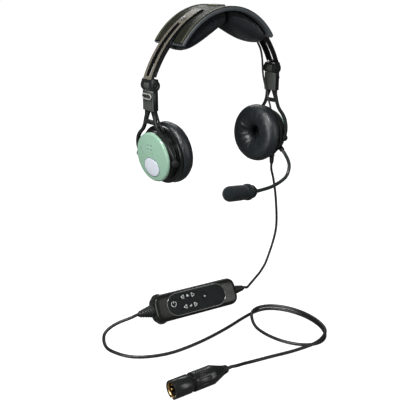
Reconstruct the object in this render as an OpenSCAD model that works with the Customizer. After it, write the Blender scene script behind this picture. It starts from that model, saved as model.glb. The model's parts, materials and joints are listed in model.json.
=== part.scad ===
// Aviation headset: slotted band, folding arms, two ear cups, boom microphone,
// cord with a control module and a five-pin plug.
// Origin: midway between the two ear cups. +X is the wearer's left, -Y the front, +Z up.

/* [Headband] */
// Outer radius of the moulded band
band_r = 86; // [85:0.5:88]
// Width of the band from front to back
band_w = 46; // [42:1:50]
// Angle from the top of the band to each end, degrees
band_reach = 53; // [50:1:54]
// Height of the band's centre of curvature above the ear cups
band_cz = 69.9; // [68:0.1:71]
// Thickness of the moulded band
band_t = 2.1; // [1.8:0.1:2.2]
// Width of each slotted arm strip
strip_w = 13.5; // [13:0.5:15]
// Width of the slot along each arm strip
strip_slot = 6; // [5:0.5:6.5]

/* [Arms] */
// Distance of each knee hinge from the middle
knee_x = 94.25; // [94:0.05:94.5]
// Height of the knee hinges above the ear cups
knee_z = 78.3; // [78:0.1:79]
// Length of each knee barrel
knee_len = 19; // [18.5:0.5:21]
// Radius of the knee barrel
knee_r = 5.8; // [5.7:0.1:6]
// Height of the slider block
block_h = 19; // [18:0.5:20]
// Width of the slider block
block_w = 18.5; // [18.5:0.5:19]

/* [Ear cups] */
// Distance of each ear cup's middle from the origin
cup_x = 80.1; // [79.5:0.1:80.5]
// Downward lean of each cup's axis, degrees
cup_lean = 4.7; // [4:0.1:5]
// Radius of the ear seal
seal_r = 36; // [35:0.5:36.5]
// Thickness of the ear seal
seal_t = 19; // [17:0.5:19.5]
// Radius of the opening through the ear seal
seal_hole_r = 8; // [6:0.5:9]
// Radius of the cup body
shell_r = 28.6; // [28.4:0.1:28.8]
// Radius of the coloured dome
dome_r = 27.8; // [27:0.1:28]

/* [Boom microphone] */
// Radius of the flexible boom
neck_r = 2.3; // [2:0.1:2.6]
// Radius of the foam windscreen
foam_r = 9.2; // [8.5:0.1:9.8]
// Length of the foam windscreen
foam_len = 43; // [36:1:44]

/* [Cord] */
// Radius of the cord from the cup to the module
cord_r = 1.6; // [1.3:0.1:1.6]
// Radius of the cord from the module to the plug
lead_r = 1.9; // [1.6:0.1:1.9]
// Height of the resting cord below the ear cups
floor_z = -185; // [-187:1:-184]

/* [Control module] */
// Length of the control module
module_l = 104; // [102:1:108]
// Width of the control module
module_w = 31; // [31:0.5:33]
// Thickness of the control module
module_t = 20; // [20:0.5:21]
// Length of the keypad panel
panel_l = 73; // [72:1:76]
// Width of the keypad panel
panel_w = 24; // [23:0.5:25]
// Travel of a key
key_travel = 0.4; // [0.3:0.05:0.5]

/* [Plug] */
// Outer radius of the plug's shell
plug_r = 9.4; // [9.2:0.1:9.6]
// Radius of a contact pin
contact_r = 1; // [0.9:0.05:1.1]
// Radius of the circle of contact pins
contact_pcr = 5; // [4.8:0.1:5.2]

/* [Hidden] */
$fn = 72;

gap = 0.05;             // running clearance on a radius
slide_gap = 0.15;       // clearance round a sliding part
eps = 0.01;

// Each arm strip follows a flatter arc than the band, with its own centre.
strip_cx = -16.4;
strip_cz = 36.25;
strip_r = 125;
strip_t = 2.6;
strip_from = 20;
strip_to = 67;
rail_depth = 6;          // depth of the strip's side rails below the band
rail_from = 46.5;
rail_to = 64.9;
screw_at = 30.5;        // angle of the strip's fixing screw
channel_half = strip_w / 2 + 1;

arm_x = 94.5;           // middle plane of the slider block
leg_y = 7;              // distance of each stirrup leg from the block's middle
leg_w = 2.8;
leg_t = 3.4;
web_up = 0.5;           // how far the web between the legs reaches into the slider block
block_top = 70.5;
pivot_x = 87;
pivot_z = -3;
pivot_r = 1.6;
pivot_y = 29.2;         // inner face of each stirrup end

// Heights along a cup's axis, measured outward from the cup's middle.
body_in = 0.8;
body_out = 9;
ring_t = 2.3;
dome_in = body_out + ring_t + 0.35;
dome_out = 14.6;
flange_r = 33;           // rim that the seal and baffle sit in
seal_in = -2.3;
spigot_r = 24;

boom_turn = -54.9;      // direction of the boom's root round the cup, from straight down
boom_root_r = 33;
boom_mid = body_out + 1.3; // height of the boom's root along the cup's axis
mic_start = [29.6, -40, -57.1];
mic_dir = [-0.99, 0, 0.134];

ball_at = [85.1, -13, -28.6];
relief_len = 10.5;

module_at = [-77.8, -50.3, -162];
module_turn = [59, 0, -12.2];
wall = 2;
plug_at = [-197.3, -155, floor_z + 9.6];
plug_turn = -7;
plug_len = 65;
sleeve_r = 9.6;
sleeve_to = 46;          // the sleeve is straight as far as here, measured from the plug's face
taper_to = 59;

// ---------------------------------------------------------------- helpers

// Points on a Catmull-Rom curve through the given points, n steps to a span.
function spline(p, n) = [
    for (i = [0 : len(p) - 2]) for (k = [0 : n - 1]) spline_at(p, i, k / n),
    p[len(p) - 1]
];
function spline_at(p, i, t) =
    let (
        a = p[max(i - 1, 0)],
        b = p[i],
        c = p[i + 1],
        d = p[min(i + 2, len(p) - 1)]
    )
    0.5 * (2 * b + (c - a) * t + (2 * a - 5 * b + 4 * c - d) * t * t
        + (3 * b - a - 3 * c + d) * t * t * t);

function unit(v) = v / norm(v);
function along(p, i) = unit(p[min(i + 1, len(p) - 1)] - p[max(i - 1, 0)]);

// A round tube of radius r swept along a path. ref is never parallel to the path.
module tube(path, r, ref, sides = 10) {
    n = len(path);
    rings = [for (i = [0 : n - 1])
        let (t = along(path, i), u = unit(cross(ref, t)), v = cross(t, u))
        [for (k = [0 : sides - 1])
            path[i] + r * (cos(360 * k / sides) * u + sin(360 * k / sides) * v)]
    ];
    points = [for (ring = rings) for (q = ring) q];
    walls = [for (i = [0 : n - 2]) for (k = [0 : sides - 1])
        let (a = i * sides + k, b = i * sides + (k + 1) % sides)
        [a, a + sides, b + sides, b]
    ];
    start_cap = [for (k = [0 : sides - 1]) k];
    end_cap = [for (k = [sides - 1 : -1 : 0]) (n - 1) * sides + k];
    polyhedron(points, concat([start_cap, end_cap], walls), convexity = 8);
}

// Outline of a flat ribbon of width w along a 2D path.
module ribbon(path, w) {
    n = len(path);
    side = [for (i = [0 : n - 1]) let (t = along(path, i)) [-t[1], t[0]] * w / 2];
    polygon(concat(
        [for (i = [0 : n - 1]) path[i] + side[i]],
        [for (i = [n - 1 : -1 : 0]) path[i] - side[i]]
    ));
}

// Part of a hoop about an axis along Y: radii r0 to r1, from y0 to y1,
// between angles a0 and a1 measured from the top towards +X.
module hoop(cx, cz, r0, r1, y0, y1, a0, a1) {
    translate([cx, 0, cz])
        rotate([90, 0, 0])
            rotate([0, 0, 90 - a1])
                rotate_extrude(angle = a1 - a0, $fn = 180)
                    translate([r0, -y1])
                        square([r1 - r0, y1 - y0]);
}

module band_hoop(r0, r1, y0, y1, a0, a1) hoop(0, band_cz, r0, r1, y0, y1, a0, a1);

module strip_hoop(r0, r1, half, a0, a1) hoop(strip_cx, strip_cz, r0, r1, -half, half, a0, a1);

// Moves to a point on the arm strip, with +Z pointing straight out of the strip.
module on_strip(a, r) {
    translate([strip_cx, 0, strip_cz])
        rotate([0, a, 0])
            translate([0, 0, r])
                children();
}

module both_sides() {
    children();
    mirror([1, 0, 0]) children();
}

// A rod along Y centred on y = 0.
module rod_y(r, len) rotate([90, 0, 0]) cylinder(r = r, h = len, center = true);

module box(lo, hi) translate(lo) cube(hi - lo);

// Moves into the frame of the wearer's left cup: +Z outward, +X down.
module in_cup() translate([cup_x, 0, 0]) rotate([0, 90 + cup_lean, 0]) children();

module ring(r0, r1, z0, z1) {
    translate([0, 0, z0])
        difference() {
            cylinder(r = r1, h = z1 - z0);
            translate([0, 0, -1]) cylinder(r = r0, h = z1 - z0 + 2);
        }
}

module disc(r, z0, z1) translate([0, 0, z0]) cylinder(r = r, h = z1 - z0);

// ---------------------------------------------------------------- headband

module band_shell() {
    rim_w = 3;
    rim_h = 0.7;
    color([0.12, 0.13, 0.12])
        difference() {
            union() {
                band_hoop(band_r - band_t, band_r, -band_w / 2, band_w / 2, -band_reach, band_reach);
                for (s = [-1, 1])
                    band_hoop(band_r - band_t, band_r + rim_h,
                        s * (band_w - rim_w) / 2 - rim_w / 2, s * (band_w - rim_w) / 2 + rim_w / 2,
                        -band_reach, band_reach);
                band_hoop(band_r - band_t, band_r + 1.4, -7, 7, -5, 5);
            }
            both_sides()
                band_hoop(band_r - 5, band_r + 8, -channel_half, channel_half, 16, band_reach + 8);
        }
}

module pad_carrier() {
    under_r = band_r - band_t - 2.3;
    color([0.16, 0.17, 0.17])
        difference() {
            union() {
                band_hoop(under_r, band_r - band_t - gap, -band_w / 2 - 1, band_w / 2 + 1,
                    -band_reach - 1, band_reach + 1);
                // flanges in front of and behind the band's edges
                for (y = [-band_w / 2 - 1, band_w / 2 + gap])
                    band_hoop(under_r, band_r - 0.3, y, y + 1 - gap, -band_reach - 1, band_reach + 1);
            }
            both_sides() on_strip(screw_at, strip_r - 8) cylinder(r = 1.5 + gap, h = 12);
        }
}

// Two-lobed cushion, thick at its ends, with a crease at the top. Its middle
// hangs lower than its front and back edges.
module head_pad() {
    color([0.08, 0.09, 0.1]) {
        pad_layer(band_w / 2 - 2.5, 4);
        pad_layer(band_w / 4 - 0.5, 0);
    }
}

module pad_layer(half_y, lift) {
    top_r = band_r - band_t - 2.6;
    under = [[4, 135], [18, 126.4], [30, 120], [42, 114.6], [52, 111.4], [60, 110.4], [65, 112.6]];
    top = [for (a = [band_reach - 2 : -3 : -band_reach + 2])
        [top_r * sin(a), band_cz + top_r * cos(a)]];
    right = [for (q = under) [q[0], q[1] + lift]];
    left = [for (i = [len(under) - 1 : -1 : 0]) [-right[i][0], right[i][1]]];
    rotate([90, 0, 0])
        linear_extrude(height = 2 * half_y, center = true)
            polygon(concat(top, left, [[0, 137.5 + lift]], right));
}

module band_screws() {
    color([0.75, 0.75, 0.76])
        both_sides()
            on_strip(screw_at, strip_r) {
                translate([0, 0, gap])
                    difference() {
                        cylinder(r = 3, h = 1.5);
                        translate([0, 0, 0.7]) box([-2.2, -0.4, 0], [2.2, 0.4, 2]);
                    }
                translate([0, 0, -4.4]) cylinder(r = 1.5, h = 4.5);
            }
}

module strip_solid(extra = 0) {
    strip_hoop(strip_r - strip_t - extra, strip_r + extra, strip_w / 2 + extra, strip_from, strip_to);
}

// Plate with a long slot, and a rail along each edge below the band.
module arm_strip() {
    rail_t = 1.6;
    color([0.2, 0.2, 0.19])
        difference() {
            union() {
                strip_solid();
                difference() {
                    strip_hoop(strip_r - rail_depth, strip_r, strip_w / 2, rail_from, rail_to);
                    strip_hoop(strip_r - rail_depth - 1, strip_r - strip_t, strip_w / 2 - rail_t,
                        rail_from - 1, rail_to + 1);
                }
            }
            strip_hoop(strip_r - strip_t - 1, strip_r + 1, strip_slot / 2, screw_at + 3, strip_to - 1.6);
            on_strip(screw_at, strip_r - strip_t - 1) cylinder(r = 1.5 + 2 * gap, h = 5);
        }
}

module knee_bracket() {
    ear_in = 4.6;
    web = strip_w / 2 + 1.4;
    color([0.09, 0.1, 0.1])
        difference() {
            union() {
                translate([knee_x, 0, knee_z]) rod_y(knee_r, knee_len);
                box([knee_x - 4.6, -web, knee_z], [knee_x + 4.6, web, knee_z + 6.5]);
                translate([knee_x + 1.3, 0, knee_z + 4]) rod_y(3.8, 2 * web + 1);
            }
            translate([knee_x, 0, knee_z]) rod_y(knee_r + 0.6, 2 * ear_in);
            box([80, -ear_in, knee_z - 10], [110, ear_in, knee_z + 2]);
            translate([knee_x, 0, knee_z]) rod_y(2 + gap, knee_len + 2);
            strip_solid(gap);
        }
}

module knee_pins() {
    color([0.55, 0.55, 0.56])
        both_sides()
            translate([knee_x, 0, knee_z]) rod_y(2, knee_len + 0.6);
}

// Thin wire from the band's end down the inside of each arm.
module crossover_wire() {
    path = spline([[68.6, 6.5, 116.9], [73.4, 6.8, 111.6], [77.6, 7, 105.9], [80.9, 7, 100], [83.4, 7, 91],
        [84.6, 7.1, 83]], 4);
    color([0.05, 0.05, 0.05])
        both_sides()
            tube(path, 0.9, [0, 1, 0], 8);
}

// ---------------------------------------------------------------- arms

module slider_block() {
    hole_w = leg_w + 2 * slide_gap;
    hole_t = leg_t + 2 * slide_gap;
    half_t = 3.2;
    face = arm_x + half_t;
    color([0.11, 0.12, 0.12])
        difference() {
            union() {
                box([arm_x - half_t, -block_w / 2, block_top - block_h], [face, block_w / 2, block_top]);
                translate([knee_x, 0, knee_z]) rod_y(knee_r - 0.2, 8.8);
                box([arm_x - half_t, -4.4, block_top - 1], [face - 0.4, 4.4, knee_z]);
                for (k = [0 : 4])
                    box([face - 0.1, -6, block_top - 9 - 2 * k], [face + 0.4, 6, block_top - 8 - 2 * k]);
            }
            for (s = [-1, 1])
                translate([arm_x - hole_t / 2, s * leg_y - hole_w / 2, block_top - block_h - 1])
                    cube([hole_t, hole_w, block_h + 0.2]);
            // room for the web between the legs when the stirrup slides up
            box([arm_x - hole_t / 2, -leg_y, block_top - block_h - 1],
                [arm_x + hole_t / 2, leg_y, block_top - block_h + web_up + 3.8]);
            translate([knee_x, 0, knee_z]) rod_y(2 + gap, 14);
            // shallow oval window under the rim of the sleeve
            translate([face - 0.8, 0, block_top - 3.6])
                rotate([0, 90, 0])
                    for (s = [-1, 1])
                        translate([0, s * 4, 0]) cylinder(r = 1.7, h = 2);
            box([face - 0.8, -4, block_top - 5.3], [face + 1, 4, block_top - 1.9]);
        }
}

// Webs that close the space between the legs towards the top.
module leg_webs(low) {
    high = block_top - block_h + web_up;
    translate([arm_x - 1.4, 0, 0])
        rotate([90, 0, 90])
            linear_extrude(height = 2.8)
                for (m = [0, 1])
                    mirror([m, 0])
                        polygon([[0.8, high], [leg_y, high], [leg_y + 1, low], [leg_y - 0.8, low]]);
}

// Wishbone: two legs joined by a crossbar, spreading to the cup's pivots.
module stirrup() {
    fork_y = pivot_y + 1.9;
    bar_half = 9;
    bar_z = 38.8;           // height of the crossbar's middle
    front = spline([[leg_y, 66], [leg_y, 54], [leg_y, 47.8], [leg_y + 0.2, 45.5], [8.8, 39], [11, 33.5],
        [14.6, 28.6], [19.6, 24.6], [24.6, 19.4], [28.3, 13], [30.4, 7], [31.2, 1.5], [fork_y, -3]], 3);
    side = spline([[arm_x, 66], [arm_x, 54], [arm_x, 47.8], [arm_x + 0.1, 45.5], [95.1, 40],
        [94.2, 25], [90.8, 10], [88, 1], [pivot_x, -3]], 3);
    color([0.08, 0.09, 0.09])
        difference() {
            union() {
                for (s = [-1, 1])
                    intersection() {
                        rotate([90, 0, 90])
                            linear_extrude(height = 120)
                                mirror([s < 0 ? 1 : 0, 0]) ribbon(front, leg_w);
                        rotate([90, 0, 0])
                            linear_extrude(height = 80, center = true)
                                ribbon(side, leg_t);
                    }
                leg_webs(bar_z + 1.5);
                box([93.5, -bar_half, bar_z - 2.2], [97, bar_half, bar_z + 2.2]);
                for (k = [-2 : 2])
                    box([96.9, 2.4 * k - 0.6, bar_z - 1.8], [97.5, 2.4 * k + 0.6, bar_z + 1.8]);
                for (s = [-1, 1])
                    translate([pivot_x, s * fork_y, pivot_z]) rod_y(3.8, 3.8);
            }
            translate([pivot_x, 0, pivot_z]) rod_y(pivot_r + gap, 80);
            // room inside the fork for the cup
            translate([pivot_x, 0, pivot_z]) rod_y(5.5, 2 * pivot_y);
        }
}

// ---------------------------------------------------------------- ear cups

module cup_shell(has_cord) {
    color([0.07, 0.08, 0.08])
        difference() {
            in_cup()
                difference() {
                    union() {
                        disc(shell_r, body_in, body_out);
                        disc(flange_r, seal_in, body_in + eps);
                        disc(spigot_r - gap, body_out - eps, dome_in - 0.05);
                    }
                    disc(shell_r - 2.4, seal_in - 1, body_out - 2.2);
                    disc(spigot_r - 3, body_out - 4, dome_out);
                    disc(flange_r - 1.8, seal_in - 1, seal_in + 2.2);
                    for (z = [1.8, 4, 6.2])
                        ring(shell_r - 0.7, shell_r + 2, z, z + 1);
                }
            for (s = [-1, 1])
                translate([pivot_x, s * pivot_y, pivot_z]) rod_y(pivot_r, 8);
            if (has_cord) {
                translate(ball_at) cylinder(r = 1.6, h = 14);
                translate(ball_at) sphere(r = 3.7);
            }
        }
}

// A turned shell: thin wall, rounded rim and flat face, with vent holes above the middle.
module dome() {
    round_r = 2.6;
    wall_t = 1.8;
    crown = 1.6;            // how far the middle of the face stands above its rim
    flat_r = dome_r - round_r;
    rim = [for (a = [0 : 10 : 80]) [flat_r + round_r * cos(a), dome_out - round_r + round_r * sin(a)]];
    face = [for (k = [6 : -1 : 0]) [flat_r * k / 6, dome_out + crown * (1 - k * k / 36)]];
    color([0.6, 0.77, 0.66])
        in_cup()
            difference() {
                rotate_extrude()
                    polygon(concat([[dome_r - wall_t, dome_in], [dome_r, dome_in]], rim, face,
                        [[0, dome_out - wall_t], [dome_r - wall_t, dome_out - wall_t]]));
                for (x = [-13.9, -9.5], y = [-1.6, 3.9])
                    translate([x, y, dome_in]) cylinder(r = 1, h = 10, $fn = 24);
                box([-9.8, 16.4, dome_in], [-6.2, 17.9, dome_out + 3]);
            }
}

module trim_ring() {
    color([0.06, 0.06, 0.06])
        in_cup() ring(spigot_r, shell_r - 0.8, body_out + gap, body_out + ring_t);
}

module baffle() {
    color([0.1, 0.1, 0.1])
        in_cup()
            difference() {
                disc(flange_r - 1.9, seal_in + 0.6, seal_in + 2.1);
                disc(17, seal_in - 1, seal_in + 4);
                for (a = [0 : 30 : 330])
                    rotate([0, 0, a]) translate([23, 0, seal_in]) cylinder(r = 1.6, h = 4, $fn = 24);
            }
}

module driver() {
    color([0.25, 0.25, 0.27])
        in_cup() {
            ring(14, 16.9, seal_in + 0.6, seal_in + 2.2);
            disc(14.1, seal_in + 1, seal_in + 1.8);
            ring(12, 19.5, seal_in + 2.15, seal_in + 4.2);
            disc(12.1, seal_in + 2.6, seal_in + 4.2);
            disc(9, seal_in + 4.1, seal_in + 9);
        }
}

module foam_disc() {
    color([0.04, 0.04, 0.04])
        in_cup() disc(27, seal_in - 0.1, seal_in + 0.55);
}

module ear_seal() {
    r = seal_t / 2;
    mid = seal_in - 0.2 - r;
    color([0.09, 0.1, 0.11])
        in_cup()
            difference() {
                union() {
                    disc(seal_r - r * 0.62, mid - r, mid + r);
                    translate([0, 0, mid])
                        rotate_extrude()
                            intersection() {
                                translate([seal_r - r, 0]) circle(r = r);
                                translate([2, -20]) square([60, 40]);
                            }
                }
                disc(seal_hole_r, mid - r - 1, mid + r + 1);
                translate([0, 0, mid - r])
                    cylinder(r1 = seal_hole_r + 9, r2 = seal_hole_r - 1, h = r);
            }
}

module pivot_pins() {
    inner = pivot_y - 4;
    outer = pivot_y + 3.9;
    color([0.5, 0.5, 0.52])
        for (s = [-1, 1])
            translate([pivot_x, s * (inner + outer) / 2, pivot_z]) {
                rod_y(pivot_r, outer - inner);
                translate([0, s * ((outer - inner) / 2 + 0.5), 0]) rod_y(2.8, 1.1);
            }
}

// Last length of the wire, entering the top of the cup.
module cup_wire() {
    path = spline([[86.5, -1.6, 42], [86.2, -4.4, 37], [85.3, -7.4, 32.4], [84.2, -9, 27.8]], 4);
    color([0.05, 0.05, 0.05]) tube(path, 0.9, [0, 1, 0], 8);
}

// ---------------------------------------------------------------- boom microphone

// Moves to the boom's root, with +Z pointing straight out from the cup's axis.
module at_boom_root(r) {
    in_cup()
        rotate([0, 0, boom_turn])
            translate([r, 0, boom_mid])
                rotate([0, 90, 0])
                    children();
}

module boom_ring() {
    color([0.08, 0.09, 0.09])
        difference() {
            union() {
                in_cup() ring(spigot_r, shell_r - 0.8, body_out + gap, body_out + ring_t);
                at_boom_root(shell_r - 2) cylinder(r = 3.1, h = boom_root_r - shell_r + 2);
            }
            in_cup() {
                disc(shell_r + gap, body_out - 6, body_out + gap);
                disc(dome_r + gap, body_out + ring_t, dome_out + 3);
            }
            at_boom_root(shell_r + 0.2) cylinder(r = neck_r + 0.1, h = 8);
        }
}

// A point in the left cup's frame: down from its middle, sideways, and out along its axis.
function cup_point(down, y, out) = [
    cup_x - down * sin(cup_lean) + out * cos(cup_lean),
    y,
    -down * cos(cup_lean) - out * sin(cup_lean)
];

function boom_point(r) = cup_point(r * cos(boom_turn), r * sin(boom_turn), boom_mid);

module gooseneck() {
    path = spline([boom_point(shell_r + 0.3), boom_point(boom_root_r - 1.5),
        boom_point(boom_root_r + 0.5), [89.6, -31, -24.2],
        [92, -34.4, -32], [92.2, -36.4, -40], [87, -38, -49], [76, -39.3, -54],
        [57, -40, -57.6], mic_start - 5 * mic_dir, mic_start - 1.5 * mic_dir,
        mic_start + 2.4 * mic_dir], 5);
    color([0.1, 0.11, 0.11]) tube(path, neck_r, [0, 0.857, -0.51], 10);
}

// Moves to the microphone, with +Z pointing away from the boom.
module in_mic() {
    translate(mic_start)
        rotate([0, atan2(mic_dir[0], mic_dir[2]), 0])
            children();
}

module mic_housing() {
    color([0.09, 0.1, 0.1])
        in_mic()
            difference() {
                union() {
                    cylinder(r1 = 3.6, r2 = 7, h = 5);
                    disc(6, 4, 9.1);
                    ring(5.5, 7.9, 6.2, 8.6);
                    disc(5, 9, 20);
                }
                disc(neck_r + 0.15, -1, 3.4);
                disc(4.2, 10, 30);
            }
}

module mic_capsule() {
    color([0.6, 0.6, 0.6]) in_mic() disc(4.1, 11, 19.5);
}

// Foam cover: a cuff over the housing, a groove, then a round-ended body.
module windscreen() {
    base = 9.2;
    cuff = 8.5;
    tip = base + foam_len;
    color([0.14, 0.17, 0.18])
        in_mic()
            difference() {
                union() {
                    translate([0, 0, base]) cylinder(r1 = foam_r - 2, r2 = foam_r + 0.8, h = 3);
                    disc(foam_r + 0.8, base + 3 - eps, base + cuff);
                    disc(foam_r - 0.5, base + cuff - eps, base + cuff + 2);
                    disc(foam_r, base + cuff + 1, tip - foam_r);
                    translate([0, 0, tip - foam_r]) sphere(r = foam_r);
                }
                disc(5.1, base - 2, base + 11.8);
            }
}

// ---------------------------------------------------------------- cord

// Ball that lets the cord hang straight below the cup.
module cord_ball() {
    color([0.06, 0.06, 0.06])
        translate(ball_at) sphere(r = 3.6);
}

// Stem under the ball, with a hollow seat that turns on it.
module ball_relief() {
    translate(ball_at)
        difference() {
            union() {
                translate([0, 0, -relief_len]) cylinder(r1 = 2.1, r2 = 2.8, h = relief_len - 2.6);
                for (k = [0 : 2])
                    translate([0, 0, 1.6 - relief_len + 2.2 * k]) cylinder(r = 2.7 + 0.15 * k, h = 1.1);
            }
            sphere(r = 3.6 + gap);
            translate([0, 0, -relief_len - 1]) cylinder(r = cord_r + 0.05, h = 2);
        }
}

function coil_at(t, z) = [-13.5 + 31.5 * cos(t), -136 + 47.5 * sin(t), z];

function module_point(x) = module_at + x * [cos(module_turn[2]), sin(module_turn[2]), 0];
function plug_point(x) = plug_at + x * [cos(plug_turn), sin(plug_turn), 0];

module upper_cord() {
    path = spline([ball_at + [0, 0, 0.2 - relief_len], ball_at + [0, 0, -18], [88, -14.8, -61],
        [91.6, -17, -90], [94, -16.4, -130], [80, -15.6, -168], [55, -28.8, -172.6],
        [31.2, -41.2, -171.6], [12.5, -52.6, -168], module_point(module_l / 2 + 21) + [0, 1.2, -1.4],
        module_point(module_l / 2 + 17), module_point(module_l / 2 + 14.4)], 6);
    color([0.05, 0.05, 0.05]) tube(path, cord_r, [0, 1, 0], 10);
}

module lower_cord() {
    low = floor_z + lead_r;
    high = low + 2 * lead_r + 0.3;
    lead_in = [module_point(-module_l / 2 - 17.4), module_point(-module_l / 2 - 19.5),
        module_point(-module_l / 2 - 26) + [0, 0, -1.5],
        [-169, -24.5, -170], [-181, -21.5, -178], [-189.5, -34, low], [-191, -52, low],
        [-180, -75.5, low], [-151, -92.5, low], [-112, -97, low], [-70, -94.5, low], [-36, -89.4, low]];
    first_turn = [for (t = [90 : -30 : -210]) coil_at(t, low)];
    second_turn = [for (t = [-240 : -30 : -430]) coil_at(t, high)];
    lead_out = [[-22, -185.4, high], [-48, -178.5, low + 1.5], [-72, -169, low], [-94, -163, low + 0.4],
        [-108, -162.8, low + 3.2], plug_point(plug_len + 13) + [0, 0, -1.2], plug_point(plug_len + 6),
        plug_point(plug_len + 2.5), plug_point(plug_len - 0.4)];
    path = spline(concat(lead_in, first_turn, second_turn, lead_out), 4);
    color([0.05, 0.05, 0.05]) tube(path, lead_r, [0, 0, 1], 8);
}

module in_module() translate(module_at) rotate([0, 0, module_turn[2]]) rotate([module_turn[0], 0, 0]) children();

module in_plug() translate(plug_at) rotate([0, 0, plug_turn]) rotate([0, 90, 0]) children();

// Tapered relief with raised rings, along +Z from the part it protects.
module ribbed_boot(r0, r1, len, bore) {
    difference() {
        union() {
            cylinder(r1 = r0, r2 = r1, h = len);
            for (k = [0 : 4]) {
                z = len * (0.12 + 0.17 * k);
                translate([0, 0, z]) cylinder(r = r0 + (r1 - r0) * z / len + 0.5, h = len * 0.08);
            }
        }
        translate([0, 0, -1]) cylinder(r = bore, h = len + 2);
    }
}

module cable_boots() {
    color([0.06, 0.06, 0.06]) {
        ball_relief();
        in_module() {
            translate([module_l / 2 + 0.1, 0, 0])
                rotate([0, 90, 0]) ribbed_boot(5, 2.3, 14.5, cord_r + 0.1);
            translate([-module_l / 2 - 0.1, 0, 0])
                rotate([0, -90, 0]) ribbed_boot(6.8, 2.5, 17.5, lead_r + 0.1);
        }
        in_plug() translate([0, 0, taper_to + 0.1]) ribbed_boot(4.4, 3.2, plug_len - taper_to, lead_r + 0.1);
    }
}

// ---------------------------------------------------------------- control module

// Flat plate with rounded corners of radius r.
module rounded_plate(l, w, r, z0, z1) {
    box([-l / 2 + r, -w / 2, z0], [l / 2 - r, w / 2, z1]);
    box([-l / 2, -w / 2 + r, z0], [l / 2, w / 2 - r, z1]);
    for (x = [-1, 1], y = [-1, 1])
        translate([x * (l / 2 - r), y * (w / 2 - r), z0]) cylinder(r = r, h = z1 - z0);
}

// Flat plate with half-round ends.
module stadium(l, w, z0, z1) {
    box([-(l - w) / 2, -w / 2, z0], [(l - w) / 2, w / 2, z1]);
    for (x = [-1, 1])
        translate([x * (l - w) / 2, 0, z0]) cylinder(r = w / 2, h = z1 - z0);
}

key_places = [[-29, 1.2], [-16.6, 6.6], [-3.6, 6.6], [-15.8, -4.8], [-2.8, -4.8], [10.6, 1.6]];
key_r = [4.4, 3.6, 3.6, 3.6, 3.6, 3];
panel_x = -0.5;
panel_drop = 0.35;
wheel_x = -44.5;
wheel_y = 10.4;
wheel_r = 6.5;
door_x = [-24, 32];
door_half = 10;
corner = 9;

module wheel_pocket() {
    for (s = [-1, 1])
        translate([wheel_x, s * wheel_y, -1.9]) cylinder(r = wheel_r + 0.5, h = 6.6);
}

module at_module_screws() {
    for (x = [-31, 46], y = [-1, 1]) translate([x, y * 12.6, 0]) children();
}

module module_front() {
    top = module_t / 2;
    color([0.13, 0.14, 0.14])
        in_module()
            difference() {
                union() {
                    rounded_plate(module_l, module_w, corner, gap, top - 2.5);
                    rounded_plate(module_l - 5, module_w - 5, corner - 2, top - 2.6, top);
                }
                rounded_plate(module_l - 2 * wall, module_w - 2 * wall, corner - wall, -1, top - 3.6);
                translate([panel_x, 0, 0]) stadium(panel_l + 0.2, panel_w + 0.2, top - 1.3, top + 1);
                translate([panel_x, 0, 0]) stadium(panel_l - 3, panel_w - 3, top - 6, top);
                wheel_pocket();
            }
}

module module_back() {
    bottom = -module_t / 2;
    post_r = 2;
    color([0.12, 0.13, 0.13])
        in_module()
            difference() {
                union() {
                    difference() {
                        union() {
                            rounded_plate(module_l, module_w, corner, bottom + 2.5, 0);
                            rounded_plate(module_l - 5, module_w - 5, corner - 2, bottom, bottom + 2.6);
                        }
                        rounded_plate(module_l - 2 * wall, module_w - 2 * wall, corner - wall,
                            bottom + 3.2, 1);
                    }
                    at_module_screws() disc(post_r, bottom + 1, 0);
                }
                // recess and opening of the battery door
                box([door_x[0] - 0.2, -door_half - 0.2, bottom - 1],
                    [door_x[1] + 4.4, door_half + 0.2, bottom + 1.8]);
                box([door_x[0] + 4, -door_half + 2, bottom - 1], [door_x[1] - 4, door_half - 2, bottom + 6]);
                wheel_pocket();
                at_module_screws() disc(1 + gap, bottom - 1, 1);
            }
}

module keypad_panel() {
    top = module_t / 2;
    color([0.05, 0.06, 0.06])
        in_module()
            translate([panel_x, 0, 0])
                difference() {
                    stadium(panel_l, panel_w, top - 1.25, top - panel_drop);
                    for (i = [0 : len(key_r) - 1])
                        translate([key_places[i][0], key_places[i][1], top - 3])
                            cylinder(r = key_r[i] + slide_gap, h = 5);
                }
}

// A key sits flush in the panel. Its stem stops just short of the board when pressed.
module key(i) {
    top = module_t / 2;
    color([0.1, 0.11, 0.11])
        in_module()
            translate([panel_x + key_places[i][0], key_places[i][1], 0]) {
                disc(key_r[i], top - 1.5, top - panel_drop);
                disc(1.2, top - 4 + key_travel, top - 1.4);
            }
}

module main_board() {
    under = module_t / 2 - 5.2;
    color([0.1, 0.35, 0.2])
        in_module() {
            rounded_plate(66, 22, 2, under, under + 1.1);
            for (x = [-20, 0, 22]) box([x - 5, -3, under - 0.5], [x + 5, 3, under + 0.1]);
        }
}

module batteries() {
    cell_r = 5.1;
    cell_l = 44;
    color([0.7, 0.6, 0.2])
        in_module()
            for (s = [-1, 1])
                translate([-18, s * (cell_r + 0.3), -1.4]) rotate([0, 90, 0]) {
                    cylinder(r = cell_r, h = cell_l);
                    translate([0, 0, cell_l - 0.1]) cylinder(r = 1.9, h = 0.9);
                }
}

module module_screws() {
    color([0.5, 0.5, 0.5])
        in_module()
            at_module_screws() disc(1, 0.2 - module_t / 2, -0.1);
}

module volume_wheel(s) {
    color([0.12, 0.12, 0.12])
        in_module()
            translate([wheel_x, s * wheel_y, 0])
                difference() {
                    disc(wheel_r, -1.4, 4.2);
                    for (a = [0 : 20 : 340])
                        rotate([0, 0, a])
                            translate([wheel_r + 0.2, 0, -2]) cylinder(r = 0.6, h = 8, $fn = 24);
                }
}

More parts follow.
